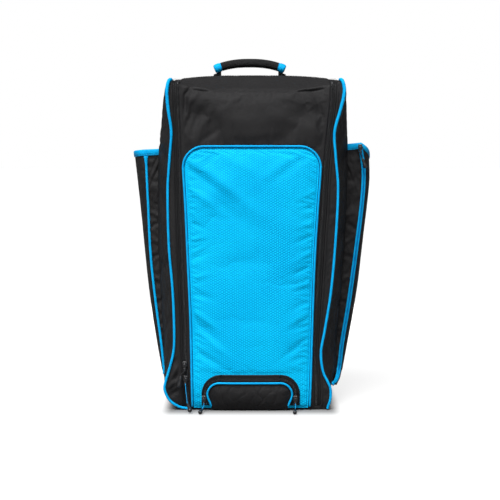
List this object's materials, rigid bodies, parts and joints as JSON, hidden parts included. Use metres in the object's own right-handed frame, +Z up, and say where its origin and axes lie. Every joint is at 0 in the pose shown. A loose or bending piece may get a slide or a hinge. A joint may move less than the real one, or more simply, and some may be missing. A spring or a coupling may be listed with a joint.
{
  "type": "wheeled duffel bag",
  "caption": "Upright wheeled kit bag in black cloth with a padded blue front panel, a zipped lid, a low shoe pocket, open sleeves on its sides and a carrying handle on top.",
  "frame": {"origin": "on the floor under the middle of the base", "axes": "+X to the right as seen from the front, -Y out of the front panel, +Z up"},
  "size_m": [0.5938, 0.384, 0.8585],
  "materials": {
    "black_cloth": "matt woven cloth",
    "blue_cloth": "embossed matt cloth",
    "blue_trim": "smooth piping",
    "black_zip": "woven tape",
    "black_plastic": "matt moulding",
    "dark_metal": "dark coating",
    "rubber": "matt tread"
  },
  "bodies": {
    "bag": {"body_shell": "black_cloth", "front_lid": "black_cloth", "pocket_front": "black_cloth", "side_sleeve_left": "black_cloth", "side_sleeve_right": "black_cloth", "handle_grip": "black_cloth", "handle_strap_left": "black_cloth", "handle_strap_right": "black_cloth", "front_panel": "blue_cloth", "panel_piping": "blue_trim", "pocket_piping": "blue_trim", "side_piping_left": "blue_trim", "side_piping_right": "blue_trim", "sleeve_binding_left": "blue_trim", "sleeve_binding_right": "blue_trim", "sleeve_piping_left": "blue_trim", "sleeve_zip_right": "blue_trim", "handle_band_left": "blue_trim", "handle_band_right": "blue_trim", "pull_cord_main_upper": "blue_trim", "pull_cord_main_lower": "blue_trim", "pull_cord_pocket_left": "blue_trim", "pull_cord_pocket_right": "blue_trim", "pull_cord_sleeve_right": "blue_trim", "main_zip_tape": "black_zip", "pocket_zip_tape": "black_zip", "wheel_housing_left": "black_plastic", "wheel_housing_right": "black_plastic", "pull_end_main_upper": "black_plastic", "pull_end_main_lower": "black_plastic", "pull_end_pocket_left": "black_plastic", "pull_end_pocket_right": "black_plastic", "pull_end_sleeve_right": "black_plastic", "slider_main_upper": "dark_metal", "slider_main_lower": "dark_metal", "slider_pocket_left": "dark_metal", "slider_pocket_right": "dark_metal", "slider_sleeve_right": "dark_metal"},
    "left_wheel": {"wheel_left": "rubber"},
    "right_wheel": {"wheel_right": "rubber"}
  },
  "joints": [
    {"name": "left_wheel_spin", "type": "hinge", "parent": "bag", "child": "left_wheel", "pos_m": [-0.146, 0.138, 0.0365], "axis": [1, 0, 0], "continuous": true},
    {"name": "right_wheel_spin", "type": "hinge", "parent": "bag", "child": "right_wheel", "pos_m": [0.146, 0.138, 0.0365], "axis": [1, 0, 0], "continuous": true}
  ]
}
